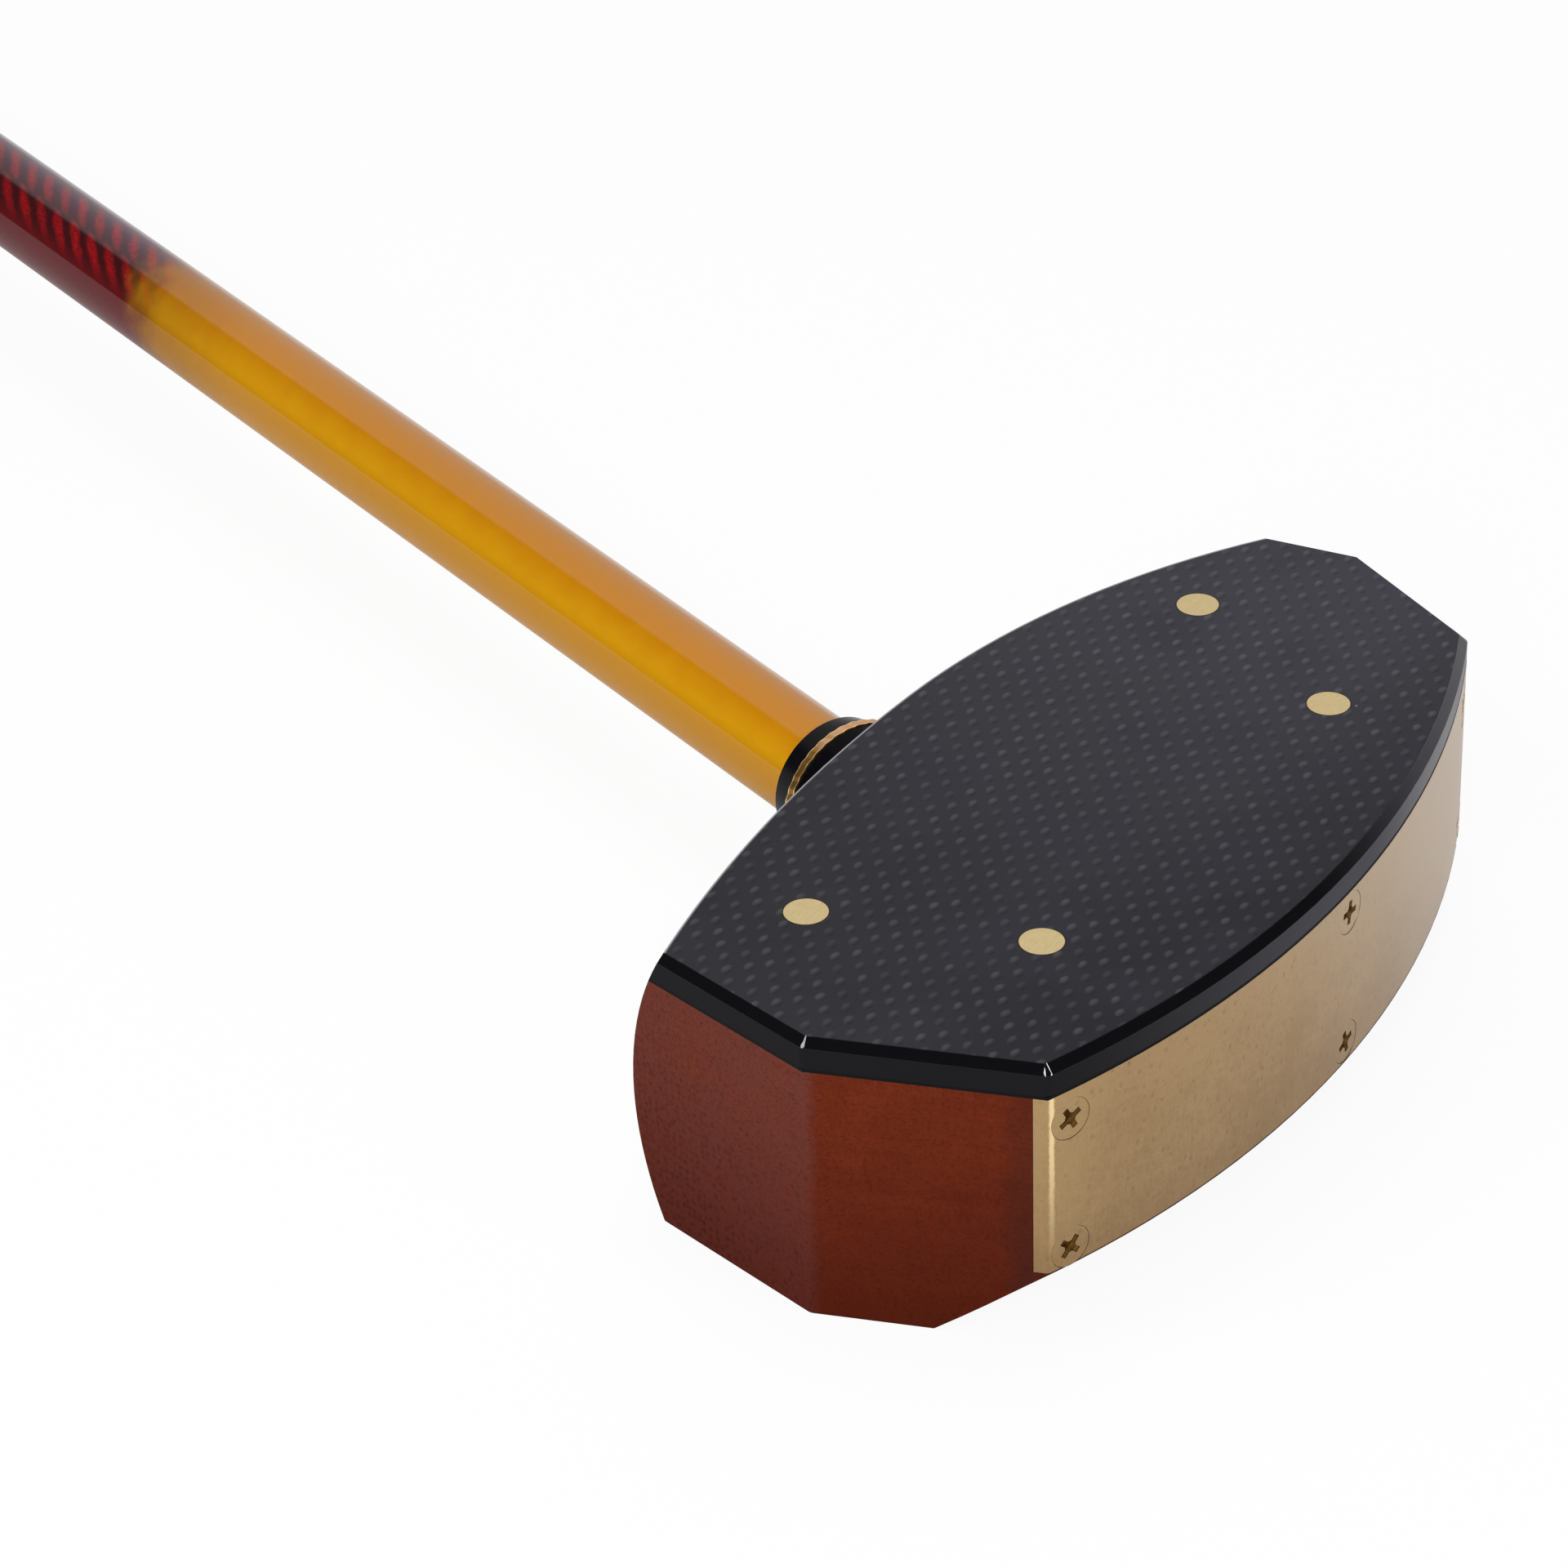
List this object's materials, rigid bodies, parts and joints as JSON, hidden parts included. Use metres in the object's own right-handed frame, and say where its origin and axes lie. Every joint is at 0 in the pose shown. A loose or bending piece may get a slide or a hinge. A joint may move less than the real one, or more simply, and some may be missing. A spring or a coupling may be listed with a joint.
{
  "type": "park golf club",
  "caption": "Right-handed park golf club: faceted wooden mallet head with woven face plate and screwed brass sole, trim rings, tapered tube shaft and rubber grip.",
  "frame": {"origin": "on the head's flat back face, under the middle of the face pins", "axes": "+X from toe to heel, +Y from sole to crown and on towards the grip, +Z out of the striking face"},
  "size_m": [0.2955, 0.8081, 0.0359],
  "materials": {
    "lacquered_wood": "red-brown stain under gloss lacquer",
    "black_fibre": "matt black fibre sheet",
    "woven_laminate": "woven laminate under clear resin, glossy bevel",
    "brass_plate": "brushed",
    "pin_brass": "ground flush and polished",
    "screw_brass": "ground flush and brushed",
    "weight_brass": "turned",
    "black_ring": "gloss black",
    "gold_trim": "gold anodised, cut facets",
    "shaft_lacquer": "woven tube under amber to dark red clear lacquer",
    "plug_plastic": "matt",
    "tape_fabric": "double-sided tape",
    "grip_rubber": "matt, moulded pattern",
    "cap_rubber": "smooth"
  },
  "bodies": {
    "root": {"head_block": "lacquered_wood", "backing_sheet": "black_fibre", "face_plate": "woven_laminate", "face_pin_toe_upper": "pin_brass", "face_pin_heel_upper": "pin_brass", "face_pin_toe_lower": "pin_brass", "face_pin_heel_lower": "pin_brass", "sole_plate": "brass_plate", "sole_screw_toe_front": "screw_brass", "sole_screw_toe_rear": "screw_brass", "sole_screw_middle_front": "screw_brass", "sole_screw_middle_rear": "screw_brass", "sole_screw_heel_front": "screw_brass", "sole_screw_heel_rear": "screw_brass", "toe_weight": "weight_brass", "heel_weight": "weight_brass", "lower_ring": "black_ring", "gold_ring": "gold_trim", "upper_collar": "black_ring", "shaft": "shaft_lacquer", "tip_plug": "plug_plastic", "grip_tape": "tape_fabric", "grip_sleeve": "grip_rubber", "grip_ring": "black_ring", "grip_cap": "cap_rubber"}
  },
  "joints": []
}
